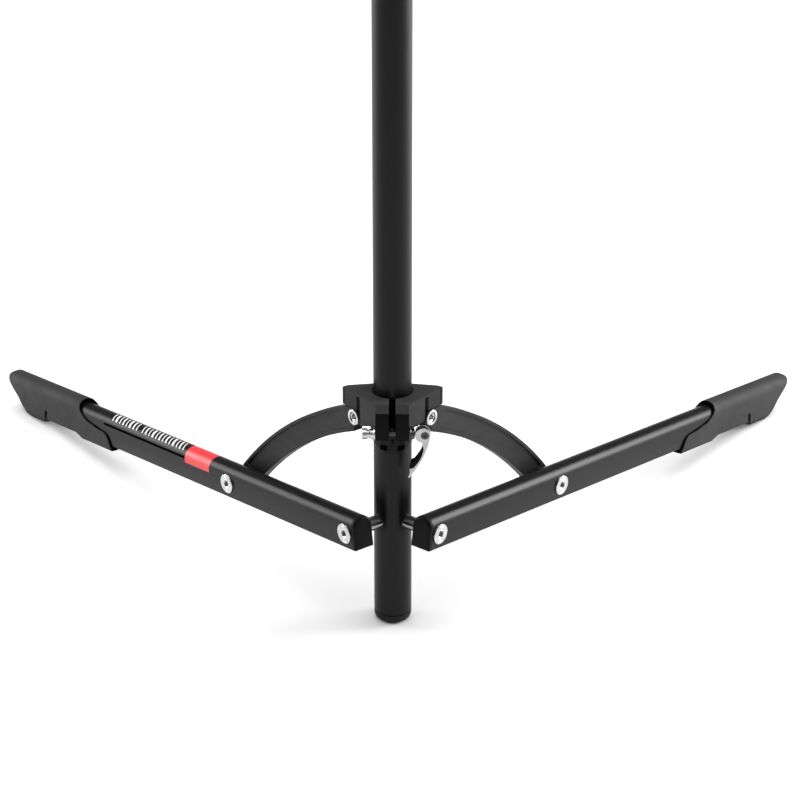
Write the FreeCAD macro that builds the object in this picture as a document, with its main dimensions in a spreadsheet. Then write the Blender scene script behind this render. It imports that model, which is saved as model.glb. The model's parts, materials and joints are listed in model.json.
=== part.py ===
import FreeCAD, Part
import math
import os

# Folding two-leg floor stand base, in millimetres.
# Origin: column axis at floor level. +Z up the column, legs run towards +Y, the lever is on the +X side.
# A leg's own frame: X along the leg, Z up across it, Y across its width, origin on the pivot axis.

Vector = FreeCAD.Vector
Rotation = FreeCAD.Rotation
Placement = FreeCAD.Placement

doc = FreeCAD.newDocument("StandBase")

# ---------------------------------------------------------------- driving dimensions

SIZES = {
    # column
    "column_radius": 20, "column_wall": 2, "column_bottom": 11, "column_top": 900,
    "foot_radius": 14.5, "foot_plug_depth": 16, "foot_plug_wall": 4,
    "sleeve_lip": 3, "mast_bore_radius": 17, "guide_depth": 60,
    "block_height": 36, "block_hole_depth": 14,
    # legs
    "leg_azimuth": 51.95, "leg_slope": 8.52, "pivot_height": 122.3,
    "leg_inner_face": 38.85, "leg_width": 24, "leg_wall": 2,
    "leg_below": 16.7, "leg_above": 20, "leg_corner": 1,
    "leg_start": -12.5, "leg_end": 676, "strut_bolt_at": 222.3,
    "cap_depth": 5, "cap_plug_depth": 5.5, "cap_round": 3,
    # round fasteners
    "bolt_radius": 4, "bolt_gap": 0.05, "head_radius": 11, "head_thickness": 2,
    "bush_radius": 6, "spacer_radius": 7.5, "socket_radius": 3.2, "socket_depth": 1,
    "washer_radius": 10, "strut_washer_thickness": 2.4, "thrust_washer_thickness": 0.9, "gap": 0.05,
    # struts
    "strut_outer_face": 36, "strut_thickness": 11, "strut_depth": 28, "strut_arc": 540, "strut_drop": 1.3,
    "strut_pin_along": 18.4, "strut_pin_height": 242.8, "strut_eye": 8.2, "web_depth": 2, "web_rim": 3.6,
    "strut_bush_wall": 1.5, "end_nut_radius": 7.2, "end_nut_thickness": 5,
    # collar
    "collar_bottom": 236, "collar_top": 270.5, "collar_back_radius": 27, "collar_front": 36,
    "collar_half_front": 17.3, "cheek_length": 33.8, "collar_round": 1.2,
    "liner_outer": 21.6, "liner_bottom": 206, "liner_gap": 0.05,
    "band_outer": 23.6, "band_bottom": 229.4, "band_top": 260, "slit": 7,
    "pin_head_radius": 8.5, "pin_radius": 3, "pin_length": 17,
    "liner_window_at": 8.9, "liner_window_width": 7.4, "liner_window_low": 210.2, "liner_window_high": 216.2,
    "liner_slit": 3, "liner_slit_from": 222,
    # quick release
    "skewer_y": -28, "skewer_z": 233.6, "rod_radius": 2.5, "cam_radius": 8.1, "cam_throw": 2.1,
    "barrel_radius": 4.2, "barrel_x": 33.6, "lever_width": 9, "fork_width": 5.6, "insert_width": 9.6,
    "nut_radius": 5.6, "nut_end": -31.6, "nut_length": 8.3, "nut_grip_radius": 0.9,
    "rod_washer_length": 5.9, "rod_washer_large": 7, "rod_washer_small": 5,
    # boot
    "boot_wall": 1.8, "boot_above": 25.5, "boot_arch": 17.7, "boot_sole": 22.7, "boot_tread": 20.3,
    "boot_start": 465, "boot_nose": 720.5, "arch_start": 555.5, "arch_end": 626,
    "boot_slot_width": 6.5, "boot_slot_up": -5.5, "boot_slot_depth": 1.2,
    "boot_slot_lean": 4.5, "boot_nose_round": 6,
    "pad_start": 636, "pad_end": 680, "pad_thickness": 2.7,
}

sheet = doc.addObject("Spreadsheet::Sheet", "Sizes")
for row, (alias, number) in enumerate(SIZES.items(), start=1):
    sheet.set(f"A{row}", alias)
    sheet.set(f"B{row}", str(number))
    sheet.setAlias(f"B{row}", alias)
doc.recompute()


def size(alias):
    return float(sheet.get(alias))


# ---------------------------------------------------------------- short ways to make shapes

def at(x=0, y=0, z=0, rotation=None):
    return Placement(Vector(x, y, z), rotation or Rotation())


def bind(obj, **cells):
    for prop, cell in cells.items():
        obj.setExpression(prop, cell)


def cylinder(name, radius, length, placement):
    """Cylinder whose radius and length are expressions in sheet cells."""
    obj = doc.addObject("Part::Cylinder", name)
    bind(obj, Radius=radius, Height=length)
    obj.Placement = placement
    return obj


def cone(name, radius_low, radius_high, length, placement):
    obj = doc.addObject("Part::Cone", name)
    bind(obj, Radius1=radius_low, Radius2=radius_high, Height=length)
    obj.Placement = placement
    return obj


def box(name, corner, dims, placement=None):
    """Box from its low corner and its three lengths, in the frame of the placement."""
    obj = doc.addObject("Part::Box", name)
    obj.Length, obj.Width, obj.Height = dims
    obj.Placement = (placement or at()).multiply(at(*corner))
    return obj


def prism(name, sides, radius, length, placement):
    obj = doc.addObject("Part::Prism", name)
    obj.Polygon = sides
    bind(obj, Circumradius=radius, Height=length)
    obj.Placement = placement
    return obj


def cut(name, base, *tools):
    obj = doc.addObject("Part::Cut", name)
    obj.Base = base
    obj.Tool = tools[0] if len(tools) == 1 else fuse(name + "_tools", *tools)
    return obj


def fuse(name, *shapes):
    obj = doc.addObject("Part::MultiFuse", name)
    obj.Shapes = list(shapes)
    return obj


def common(name, *shapes):
    obj = doc.addObject("Part::MultiCommon", name)
    obj.Shapes = list(shapes)
    return obj


def outline_edges(outline):
    """Closed outline: each entry is a point, or a pair (through, end) for an arc that ends there."""
    edges = []
    first = outline[0]
    here = Vector(*first)
    for step in outline[1:] + [first]:
        if isinstance(step[0], tuple):
            through, end = Vector(*step[0]), Vector(*step[1])
            edges.append(Part.Arc(here, through, end))
        else:
            end = Vector(*step)
            if end.distanceToPoint(here) < 1e-6:
                continue
            edges.append(Part.LineSegment(here, end))
        here = end
    return edges


def sketch_on(body, plane_role, outlines):
    plane = next(f for f in body.Origin.OriginFeatures if f.Role == plane_role)
    sketch = body.newObject("Sketcher::SketchObject", body.Name + "_sketch")
    sketch.AttachmentSupport = [(plane, "")]
    sketch.MapMode = "FlatFace"
    for outline in outlines:
        sketch.addGeometry(outline_edges(outline))
    return sketch


def slab(name, outline, length, placement, plane="XZ_Plane"):
    """PartDesign body: an outline padded to both sides of its plane; length is an expression."""
    body = doc.addObject("PartDesign::Body", name)
    pad = body.newObject("PartDesign::Pad", name + "_pad")
    sketch = sketch_on(body, plane, [outline])
    pad.Profile = sketch
    pad.SideType = "Symmetric"
    bind(pad, Length=length)
    body.Tip = pad
    body.Placement = placement
    return body


def turned(name, outline, placement=None):
    """PartDesign body: an outline in radius and height, revolved about Z."""
    body = doc.addObject("PartDesign::Body", name)
    turn = body.newObject("PartDesign::Revolution", name + "_turn")
    sketch = sketch_on(body, "XZ_Plane", [outline])
    turn.Profile = sketch
    turn.ReferenceAxis = (sketch, ["V_Axis"])
    turn.Angle = 360
    body.Tip = turn
    body.Placement = placement or at()
    return body


nodes = {}


def node(label, obj):
    obj.Label = label
    nodes[label] = obj
    return obj


# ---------------------------------------------------------------- one side of the stand

AZIMUTH = math.radians(size("leg_azimuth"))
SLOPE = math.radians(size("leg_slope"))
LEG_MIDDLE = size("leg_inner_face") + size("leg_width") / 2
LEG_OUTER_FACE = size("leg_inner_face") + size("leg_width")
STRUT_MIDDLE = size("strut_outer_face") - size("strut_thickness") / 2


class Side:
    """Directions of the right (+1) or left (-1) leg: along it, out of its outer face, and its frame."""

    def __init__(self, name, sign):
        self.name = name
        self.sign = sign
        self.along = Vector(sign * math.cos(AZIMUTH), math.sin(AZIMUTH), 0)
        self.out = Vector(sign * math.sin(AZIMUTH), -math.cos(AZIMUTH), 0)
        heading = math.degrees(math.atan2(self.along.y, self.along.x))
        self.level = Rotation(Vector(0, 0, 1), heading)
        self.pitch = self.level.multiply(Rotation(Vector(0, 1, 0), size("leg_slope")))

    def leg_point(self, along, up, out):
        """A point given in the leg's frame, at a distance out from the column's axis."""
        local = self.pitch.multVec(Vector(along, 0, up))
        return local + Vector(0, 0, size("pivot_height")) + self.out * out

    def leg_place(self, out):
        return Placement(self.leg_point(0, 0, out), self.pitch)

    def axle(self, along, out, up=0):
        """Placement whose Z points out of the leg's outer face."""
        return Placement(self.leg_point(along, up, out), Rotation(Vector(0, 0, 1), self.out))

    def pin_point(self, out):
        level = self.along * size("strut_pin_along") + self.out * out
        return level + Vector(0, 0, size("strut_pin_height"))

    def pin_axle(self, out):
        return Placement(self.pin_point(out), Rotation(Vector(0, 0, 1), self.out))

    def strut_place(self, out):
        return Placement(self.pin_point(out), self.level)


SIDES = (Side("right", 1), Side("left", -1))


def headed_bolt(name, head_radius, shank_radius, shank_length, place):
    """Flat head with a hexagon socket; the shank runs back from the head's underside.

    place(distance) gives the placement at a distance out from the head's underside."""
    thickness = "Sizes.head_thickness"
    head = cone(name + "_head", head_radius, head_radius + " - 0.5", thickness, place(0))
    shank = cylinder(name + "_shank", shank_radius, str(shank_length), place(-shank_length))
    socket = prism(name + "_socket", 6, "Sizes.socket_radius", "2 * Sizes.head_thickness",
                   place(size("head_thickness") - size("socket_depth")))
    return cut(name + "_bolt", fuse(name + "_solid", head, shank), socket)


# ---------------------------------------------------------------- column

def make_column():
    outer = cylinder("column_outer", "Sizes.column_radius", "Sizes.column_top - Sizes.column_bottom",
                     at(z=size("column_bottom")))
    inner = cylinder("column_inner", "Sizes.column_radius - Sizes.column_wall", "Sizes.column_top",
                     at(z=size("column_bottom") - 1))
    holes = [cylinder("column_hole_" + side.name, "Sizes.bolt_radius + 2 * Sizes.gap",
                      "Sizes.column_radius", side.axle(0, size("column_wall")))
             for side in SIDES]
    node("column_tube", cut("column", outer, inner, *holes))


def make_column_foot():
    outer, low = size("column_radius"), size("foot_radius")
    plug = outer - size("column_wall") - 2 * size("gap")
    base = size("column_bottom")
    top = base + size("foot_plug_depth")
    inner = plug - size("foot_plug_wall")
    outline = [(0, 0), (low, 0), ((outer - 1.6, 1.7), (outer, 6)), (outer, base), (plug, base),
               (plug, top), (inner, top), (inner, base), (0, base)]
    node("column_foot", turned("foot", outline))


def make_pivot_block():
    blank = cylinder("block_blank", "Sizes.column_radius - Sizes.column_wall - 2 * Sizes.gap",
                     "Sizes.block_height", at(z=size("pivot_height") - size("block_height") / 2))
    start = size("column_radius") - size("block_hole_depth") + 1
    holes = [cylinder("block_hole_" + side.name, "Sizes.bolt_radius", "Sizes.block_hole_depth",
                      side.axle(0, start))
             for side in SIDES]
    node("pivot_block", cut("block", blank, *holes))


def make_mast_guide():
    bore, top = size("mast_bore_radius"), size("column_top")
    fit = size("column_radius") - size("column_wall") - size("gap")
    rim, rim_top = size("column_radius") + 1.2, top + size("sleeve_lip")
    low = top - size("guide_depth")
    outline = [(bore, low), (fit, low), (fit, top), (rim, top), (rim, rim_top - 1), (rim - 1, rim_top),
               (bore + 0.8, rim_top), (bore, rim_top - 0.8)]
    node("mast_guide_sleeve", turned("mast_guide", outline))


def make_pivot_hardware(side):
    """Spacer and bolt of one leg's hinge; both stay with the column."""
    start = size("column_radius") - 4
    end = size("leg_inner_face") - size("thrust_washer_thickness") - 2 * size("gap")
    spacer = cylinder("spacer_" + side.name, "Sizes.spacer_radius", str(end - start), side.axle(0, start))
    bore = cylinder("spacer_bore_" + side.name, "Sizes.bolt_radius", "Sizes.leg_inner_face", side.axle(0, 0))
    column = cylinder("spacer_saddle_" + side.name, "Sizes.column_radius", "Sizes.block_height",
                      at(z=size("pivot_height") - size("block_height") / 2))
    node("axle_spacer_" + side.name, cut("axle_spacer_" + side.name + "_cut", spacer, bore, column))
    shank = LEG_OUTER_FACE - (size("column_radius") - size("block_hole_depth") + 2)
    bolt = headed_bolt("pivot_" + side.name, "Sizes.head_radius", "Sizes.bolt_radius", shank,
                       lambda d: side.axle(0, LEG_OUTER_FACE + size("bolt_gap") + d))
    node("leg_pivot_bolt_" + side.name, bolt)


# ---------------------------------------------------------------- legs

def oblong(half, low, top, corner):
    """Section of a leg or boot, Y across and Z up: flat base with small corners, fully round top."""
    spring = top - half
    cut_in = corner * (1 - math.sqrt(0.5))  # how far the middle of a corner's arc stands in
    return [(-half + corner, low), (half - corner, low),
            ((half - cut_in, low + cut_in), (half, low + corner)), (half, spring),
            ((0, spring + half), (-half, spring)), (-half, low + corner),
            ((-half + cut_in, low + cut_in), (-half + corner, low))]


def leg_section(grow=0):
    corner = max(size("leg_corner") + grow, size("leg_corner") / 2)
    return oblong(size("leg_width") / 2 + grow, -size("leg_below") - grow, size("leg_above") + grow, corner)


def bar_along_leg(name, section, start, end, side):
    """Solid bar of a section between two places along the leg."""
    middle = side.leg_place(LEG_MIDDLE).multiply(at(x=(start + end) / 2))
    return slab(name, section, str(end - start), middle, "YZ_Plane")


def make_leg_tube(side):
    start, end = size("leg_start"), size("leg_end")
    outer = bar_along_leg("tube_outer_" + side.name, leg_section(), start, end, side)
    inner = bar_along_leg("tube_inner_" + side.name, leg_section(-size("leg_wall")), start - 5, end + 5, side)
    holes = [cylinder(f"tube_hole_{side.name}_{number}", "Sizes.bush_radius", "40",
                      side.axle(along, size("leg_inner_face") - 8))
             for number, along in enumerate((0, size("strut_bolt_at")))]
    node("leg_tube_" + side.name, cut("tube_" + side.name, outer, inner, *holes))


def make_leg_end_cap(side):
    end = size("leg_start")
    plate = bar_along_leg("cap_plate_" + side.name, leg_section(), end - size("cap_depth"), end, side)
    plug = bar_along_leg("cap_plug_" + side.name, leg_section(-size("leg_wall") - 2 * size("gap")),
                         end, end + size("cap_plug_depth"), side)
    rounded = doc.addObject("Part::Fillet", "cap_round_" + side.name)
    rounded.Base = plate
    doc.recompute()
    outside = side.leg_point(end - size("cap_depth"), 0, LEG_MIDDLE)
    face = min(plate.Shape.Faces, key=lambda f: (f.CenterOfMass - outside).Length)
    rim = [n for n, edge in enumerate(plate.Shape.Edges, start=1)
           if any(edge.isSame(other) for other in face.Edges)]
    rounded.Edges = [(n, size("cap_round"), size("cap_round")) for n in rim]
    node("leg_end_cap_" + side.name, fuse("end_cap_" + side.name, rounded, plug))


def make_leg_hardware(side):
    """Bearing sleeves, thrust washer, strut bolt and strut washer, which ride with the leg."""
    inner = size("leg_inner_face")
    for use, along in (("pivot", 0), ("strut", size("strut_bolt_at"))):
        label = f"leg_{use}_bush_{side.name}"
        blank = cylinder(label + "_blank", "Sizes.bush_radius", "Sizes.leg_width", side.axle(along, inner))
        bore = cylinder(label + "_bore", "Sizes.bolt_radius + Sizes.bolt_gap", "Sizes.leg_width + 2",
                        side.axle(along, inner - 1))
        node(label, cut(label + "_cut", blank, bore))
    label = "thrust_washer_" + side.name
    thickness = size("thrust_washer_thickness")
    ring = cylinder(label + "_ring", "Sizes.washer_radius", str(thickness),
                    side.axle(0, inner - size("gap") - thickness))
    bore = cylinder(label + "_bore", "Sizes.bolt_radius + Sizes.bolt_gap", str(3 * thickness),
                    side.axle(0, inner - 2 * thickness))
    node(label, cut(label + "_cut", ring, bore))

    along = size("strut_bolt_at")
    thickness = size("strut_washer_thickness")
    bolt = headed_bolt("strut_" + side.name, "Sizes.head_radius", "Sizes.bolt_radius",
                       size("leg_width") + thickness,
                       lambda d: side.axle(along, LEG_OUTER_FACE + size("bolt_gap") + d))
    node("leg_strut_bolt_" + side.name, bolt)
    label = "strut_washer_" + side.name
    ring = cylinder(label + "_ring", "Sizes.washer_radius", str(thickness),
                    side.axle(along, inner - size("gap") - thickness))
    bore = cylinder(label + "_bore", "Sizes.bolt_radius + Sizes.bolt_gap", str(2 * thickness),
                    side.axle(along, inner - 1.5 * thickness))
    node(label, cut(label + "_cut", ring, bore))


def boot_profile():
    """Side view of the boot: scooped mouth, stepped underside, slanted nose."""
    sole, arch, tread = -size("boot_sole"), -size("boot_arch"), -size("boot_tread")
    arch_start, arch_end = size("arch_start"), size("arch_end")
    top, tread_end = size("boot_above"), size("pad_end") - 5
    return [(472, sole), (arch_start - 13, sole), (arch_start, arch), (arch_end, arch), (arch_end, tread),
            (tread_end, tread), ((683.5, -18.4), (689.5, -14.5)), (699.6, -3.1), (710.1, 6.3), (716, 12.5),
            ((719.5, 20.5), (710, top)), (543, top), ((542.8, 18.5), (536, 11.3)), ((525, 4.1), (511.6, 0.7)),
            (493, -0.9), ((485, -2.3), (481.3, -4.9)), (477.2, -13.4)]


def boot_slot(side, middle):
    """Slanted slots in both sides of the boot, as far in as its wall is thick."""
    start, width, up = size("arch_end"), size("boot_slot_width"), size("boot_slot_up")
    low = -size("boot_sole")
    lean = size("boot_slot_lean")
    outline = [(start, low), (start + width, low), (start + width - lean, up), (start - lean, up)]
    through = slab("boot_slot_cut_" + side.name, outline, "4 * Sizes.leg_width", middle)
    core = slab("boot_slot_core_" + side.name, outline,
                "Sizes.leg_width + 2 * (Sizes.boot_wall - Sizes.boot_slot_depth)", middle)
    return cut("boot_slots_" + side.name, through, core)


def make_boot(side):
    """Boot with a bore for the leg; the sole and the tread end are deeper than the arch between them."""
    middle = side.leg_place(LEG_MIDDLE)
    start, nose = size("boot_start"), size("boot_nose")
    half, top = size("leg_width") / 2 + size("boot_wall"), size("boot_above")
    profile = slab("boot_profile_" + side.name, boot_profile(), "2 * Sizes.leg_width", middle)
    slim = oblong(half, -size("boot_arch"), top, 2.5)
    deep = oblong(half, -size("boot_sole") - 2, top, 1)
    sections = fuse("boot_sections_" + side.name,
                    bar_along_leg("boot_slim_" + side.name, slim, start, nose, side),
                    bar_along_leg("boot_heel_" + side.name, deep, start, size("arch_start"), side),
                    bar_along_leg("boot_toe_" + side.name, deep, size("arch_end"), nose, side))
    shoulder = nose - size("boot_nose_round")
    plan_outline = [(start, -half), (shoulder, -half), ((nose, 0), (shoulder, half)), (start, half)]
    plan = slab("boot_plan_" + side.name, plan_outline, "4 * Sizes.leg_width", middle, "XY_Plane")
    bore = bar_along_leg("boot_bore_" + side.name, leg_section(size("gap")),
                         start - 10, size("leg_end") + 0.3, side)
    blank = common("boot_blank_" + side.name, profile, sections, plan)
    node("leg_boot_" + side.name, cut("boot_shell_" + side.name, blank, bore, boot_slot(side, middle)))


def make_foot_pad(side):
    """Rubber tread under the boot, with a flat where it meets the floor."""
    middle = side.leg_place(LEG_MIDDLE)
    top = -size("boot_tread")
    low = top - size("pad_thickness")
    start = size("pad_start")
    end = size("pad_end")
    outline = [(start, top), (start + 1.5, low), (end - 6, low), ((end - 1.5, low + 0.5), (end, top))]
    tread = slab("pad_blank_" + side.name, outline, "Sizes.leg_width", middle)
    reach = size("column_top")
    floor = box("pad_floor_" + side.name, (-reach, -reach, -reach), (2 * reach, 2 * reach, reach))
    node("foot_pad_" + side.name, cut("pad_" + side.name, tread, floor))


# ---------------------------------------------------------------- struts

def strut_frame():
    """Both ends of the strut's middle line, seen from its collar pin, and the arc's centre."""
    reach_x = size("strut_bolt_at") * math.cos(SLOPE) - size("strut_pin_along")
    reach_z = size("pivot_height") - size("strut_bolt_at") * math.sin(SLOPE) - size("strut_pin_height")
    near = Vector(0, -size("strut_drop"), 0)
    far = Vector(reach_x, reach_z, 0)
    chord = far - near
    across = Vector(-chord.y, chord.x, 0).normalize()
    rise = math.sqrt(size("strut_arc") ** 2 - (chord.Length / 2) ** 2)
    return near, far, (near + far) * 0.5 - across * rise


def strut_outline(inset):
    """Arched bar with a small round eye at the collar and a full round end at the leg."""
    near, far, centre = strut_frame()
    half = size("strut_depth") / 2 - inset
    arc = size("strut_arc")

    def on_arc(angle, radius):
        return (centre.x + radius * math.cos(angle), centre.y + radius * math.sin(angle))

    near_angle = math.atan2(near.y - centre.y, near.x - centre.x)
    far_angle = math.atan2(far.y - centre.y, far.x - centre.x)
    top_start = near_angle - math.radians(1.2)
    low_end = near_angle - math.radians(0.75 + inset * 0.25)
    middle = (near_angle + far_angle) / 2
    beyond = Vector(-math.sin(far_angle), math.cos(far_angle), 0) * -half
    eye = size("strut_eye") - inset
    top = on_arc(top_start, arc + half)
    return [(1.0, eye), top, (on_arc(middle, arc + half), on_arc(far_angle, arc + half)),
            ((far.x + beyond.x, far.y + beyond.y), on_arc(far_angle, arc - half)),
            (on_arc(middle, arc - half), on_arc(low_end, arc - half)),
            (0, -eye), ((-eye, 0), (1.0, eye))]


def make_strut(side):
    label = "strut_" + side.name
    bar = slab(label + "_bar", strut_outline(0), "Sizes.strut_thickness", side.strut_place(STRUT_MIDDLE))
    web_place = side.strut_place(size("strut_outer_face"))
    rim = slab(label + "_web", strut_outline(size("web_rim")), "Sizes.web_depth * 2", web_place)
    thickness, along = size("strut_thickness"), size("strut_bolt_at")
    inner = size("strut_outer_face") - thickness
    boss = [cylinder(label + "_boss_near", "Sizes.strut_depth * 0.9", "2 * Sizes.strut_thickness",
                     side.pin_axle(STRUT_MIDDLE)),
            cylinder(label + "_boss_far", "Sizes.strut_depth * 0.62", "2 * Sizes.strut_thickness",
                     side.axle(along, STRUT_MIDDLE))]
    web = cut(label + "_recess", rim, *boss)
    near = cylinder(label + "_near_hole", "Sizes.pin_radius + Sizes.strut_bush_wall",
                    "3 * Sizes.strut_thickness", side.pin_axle(inner - thickness))
    distant = cylinder(label + "_far_hole", "Sizes.bolt_radius + Sizes.strut_bush_wall",
                       "3 * Sizes.strut_thickness", side.axle(along, inner - thickness))
    node(label, cut(label + "_cut", bar, web, near, distant))

    for use, radius, place in (("upper", "Sizes.pin_radius", side.pin_axle),
                               ("lower", "Sizes.bolt_radius", lambda out: side.axle(along, out))):
        bush = f"strut_{use}_bush_{side.name}"
        blank = cylinder(bush + "_blank", radius + " + Sizes.strut_bush_wall", "Sizes.strut_thickness",
                         place(inner))
        bore = cylinder(bush + "_bore", radius + " + Sizes.bolt_gap", "Sizes.strut_thickness + 2",
                        place(inner - 1))
        node(bush, cut(bush + "_cut", blank, bore))

    nut_thickness = size("end_nut_thickness")
    stud = cylinder("stud_" + side.name, "Sizes.bolt_radius",
                    "Sizes.strut_thickness + Sizes.end_nut_thickness + 0.2",
                    side.axle(along, inner - nut_thickness - 0.3))
    nut = prism("stud_nut_" + side.name, 6, "Sizes.end_nut_radius", "Sizes.end_nut_thickness",
                side.axle(along, inner - nut_thickness - size("gap")))
    node("strut_end_nut_" + side.name, fuse("end_nut_" + side.name, stud, nut))


# ---------------------------------------------------------------- sliding collar

def collar_plan():
    """Plan of the housing: flat front, two cheeks parallel to the legs, rounded back."""
    side = SIDES[0]
    half, front = size("collar_half_front"), size("collar_front")
    corner = side.out * size("strut_outer_face") + side.along * size("cheek_length")
    back = size("collar_back_radius")
    right = [(half, -front), (corner.x, corner.y), ((corner.x + 2.6, corner.y + 1.8),
             (corner.x + 2.3, corner.y + 4.6)), (46, 12), (19.7, 16.2)]
    left = [(-x, y) for x, y in (right[-1], right[-2])]
    left += [(-corner.x - 2.3, corner.y + 4.6), ((-corner.x - 2.6, corner.y + 1.8),
             (-corner.x, corner.y)), (-half, -front)]
    return right + [((0, back), left[0])] + left[1:]


def round_top_edges(name, base, height, radius):
    """Fillets every edge of a shape that lies at one height."""
    doc.recompute()
    rim = [number for number, edge in enumerate(base.Shape.Edges, start=1)
           if all(abs(vertex.Z - height) < 1e-6 for vertex in edge.Vertexes)]
    rounded = doc.addObject("Part::Fillet", name)
    rounded.Base = base
    rounded.Edges = [(number, radius, radius) for number in rim]
    return rounded


def pocket_tools(side):
    """Spaces in the housing that the strut's collar end swings in, and the slot above it."""
    place = side.strut_place(0)
    depth = size("strut_outer_face") - size("strut_thickness") - 0.3
    lateral = -60 if side.sign > 0 else depth
    slot_lateral = -60 if side.sign > 0 else 30
    reach = 60 - depth
    pocket = box("pocket_" + side.name, (-9.6, lateral, -22), (52, reach, 30.9), place)
    slot = box("slot_" + side.name, (-9.6, slot_lateral, 0), (6, 30, 25.4), place)
    wedge_outline = [(-60, 3.2 + 24), (-60, -22), (-9, -22), (-9, -7.4), (-35.8, 3.2)]
    wedge = slab("wedge_" + side.name, wedge_outline, "40", side.strut_place(depth + 20))
    return [pocket, slot, wedge]


BELOW = size("liner_bottom") - 6  # height that the collar's cutting shapes start from


def make_collar_body():
    height = "Sizes.collar_top - Sizes.collar_bottom"
    middle = (size("collar_top") + size("collar_bottom")) / 2
    plain = slab("housing_blank", collar_plan(), height, at(z=middle), "XY_Plane")
    blank = round_top_edges("housing_rounded", plain, size("collar_top"), size("collar_round"))
    half = size("collar_half_front")
    notch_top = size("band_top") + 2 * size("gap")
    tools = [
        cylinder("housing_bore", "Sizes.liner_outer + Sizes.gap", "4 * Sizes.liner_outer", at(z=BELOW)),
        cylinder("housing_band_bore", "Sizes.band_outer + Sizes.gap", str(notch_top - BELOW), at(z=BELOW)),
        box("housing_notch", (-half, -60, BELOW), (2 * half, 46, notch_top - BELOW)),
        box("housing_slit", (-size("slit") / 2, -60, BELOW), (size("slit"), 45, 100)),
        cylinder("housing_cam_space", "Sizes.cam_radius + 0.8", "40",
                 at(size("barrel_x") - size("cam_throw"), -15, size("skewer_z"),
                    Rotation(Vector(1, 0, 0), 90))),
    ]
    for side in SIDES:
        tools += pocket_tools(side)
        tools.append(cylinder("housing_pin_" + side.name, "Sizes.pin_radius", "1.5 * Sizes.pin_length",
                              side.pin_axle(size("strut_outer_face") - size("pin_length") - 1)))
    node("collar_body", cut("housing", blank, *tools))


def make_clamp_band():
    height = size("band_top") - size("band_bottom")
    ring = cylinder("band_ring", "Sizes.band_outer", str(height), at(z=size("band_bottom")))
    half = size("collar_half_front") - size("gap")
    front = size("collar_front") - 0.2
    back = size("liner_outer") / 2
    outline = [(-half, -front), (half, -front), (half, -back), (-half, -back)]
    jaws = slab("jaw_block", outline, str(height), at(z=size("band_bottom") + height / 2), "XY_Plane")
    tools = [
        cylinder("band_bore", "Sizes.liner_outer + Sizes.gap / 2", "4 * Sizes.liner_outer", at(z=BELOW)),
        box("band_slit", (-size("slit") / 2, -60, BELOW), (size("slit"), 45, 100)),
        cylinder("band_rod_hole", "Sizes.rod_radius + 0.2", "4 * Sizes.collar_half_front",
                 skewer_at(-2 * size("collar_half_front"))),
    ]
    node("clamp_band", cut("band", fuse("band_solid", ring, jaws), *tools))


def make_collar_liner():
    """Split plastic liner that runs on the column: pointed lower edge with two windows above it."""
    bottom = size("liner_bottom")
    outline_height = size("collar_top") - 1 - bottom
    blank = cylinder("liner_blank", "Sizes.liner_outer", str(outline_height), at(z=bottom))
    slit, width = size("liner_slit"), size("liner_window_width")
    low, high = size("liner_window_low"), size("liner_window_high")
    edge = [(-30, BELOW), (-30, bottom + 15), (-17.4, bottom + 7.8), ((-8.3, bottom + 2.8), (0, bottom)),
            ((8.3, bottom + 2.8), (17.4, bottom + 7.8)), (30, bottom + 15), (30, BELOW)]
    tools = [cylinder("liner_bore", "Sizes.column_radius + Sizes.liner_gap", "4 * Sizes.liner_outer",
                      at(z=BELOW)),
             box("liner_slit", (-slit / 2, -60, size("liner_slit_from")), (slit, 45, 80)),
             slab("liner_edge", edge, "4 * Sizes.liner_outer", at())]
    for name, sign in (("left", -1), ("right", 1)):
        place = sign * size("liner_window_at")
        tools.append(box("liner_window_" + name, (place - width / 2, -30, low), (width, 20, high - low)))
    node("collar_liner", cut("liner", blank, *tools))


def make_pin_bolt(side):
    bolt = headed_bolt("collar_" + side.name, "Sizes.pin_head_radius", "Sizes.pin_radius", size("pin_length"),
                       lambda d: side.pin_axle(size("strut_outer_face") + size("bolt_gap") + d))
    node("collar_strut_bolt_" + side.name, bolt)


# ---------------------------------------------------------------- quick release

def skewer_at(x):
    return at(x, size("skewer_y"), size("skewer_z"), Rotation(Vector(0, 1, 0), 90))


def make_skewer():
    rod_end = size("nut_end") + 0.6
    rod = cylinder("rod", "Sizes.rod_radius", f"Sizes.barrel_x - ({rod_end})", skewer_at(rod_end))
    barrel_place = at(size("barrel_x"), size("skewer_y") + size("lever_width") / 2, size("skewer_z"),
                      Rotation(Vector(1, 0, 0), 90))
    barrel = cylinder("barrel", "Sizes.barrel_radius", "Sizes.lever_width", barrel_place)
    socket = prism("barrel_socket", 6, "2", "3", at(size("barrel_x"), size("skewer_y") - 2.5,
                                                   size("skewer_z"), Rotation(Vector(1, 0, 0), 90)))
    node("skewer_rod", cut("rod_cut", rod, barrel))
    node("cam_barrel", cut("barrel_cut", barrel, socket))
    half = size("collar_half_front")
    large, small = "Sizes.rod_washer_large", "Sizes.rod_washer_small"
    for name, start, low, high in (("washer_lever_side", half, large, small),
                                   ("washer_nut_side", -half - size("rod_washer_length"), small, large)):
        ring = cone(name + "_ring", low, high, "Sizes.rod_washer_length", skewer_at(start))
        hole = cylinder(name + "_hole", "Sizes.rod_radius + 2 * Sizes.gap", "2 * Sizes.rod_washer_length",
                        skewer_at(start - 1))
        node(name, cut(name + "_cut", ring, hole))


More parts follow.
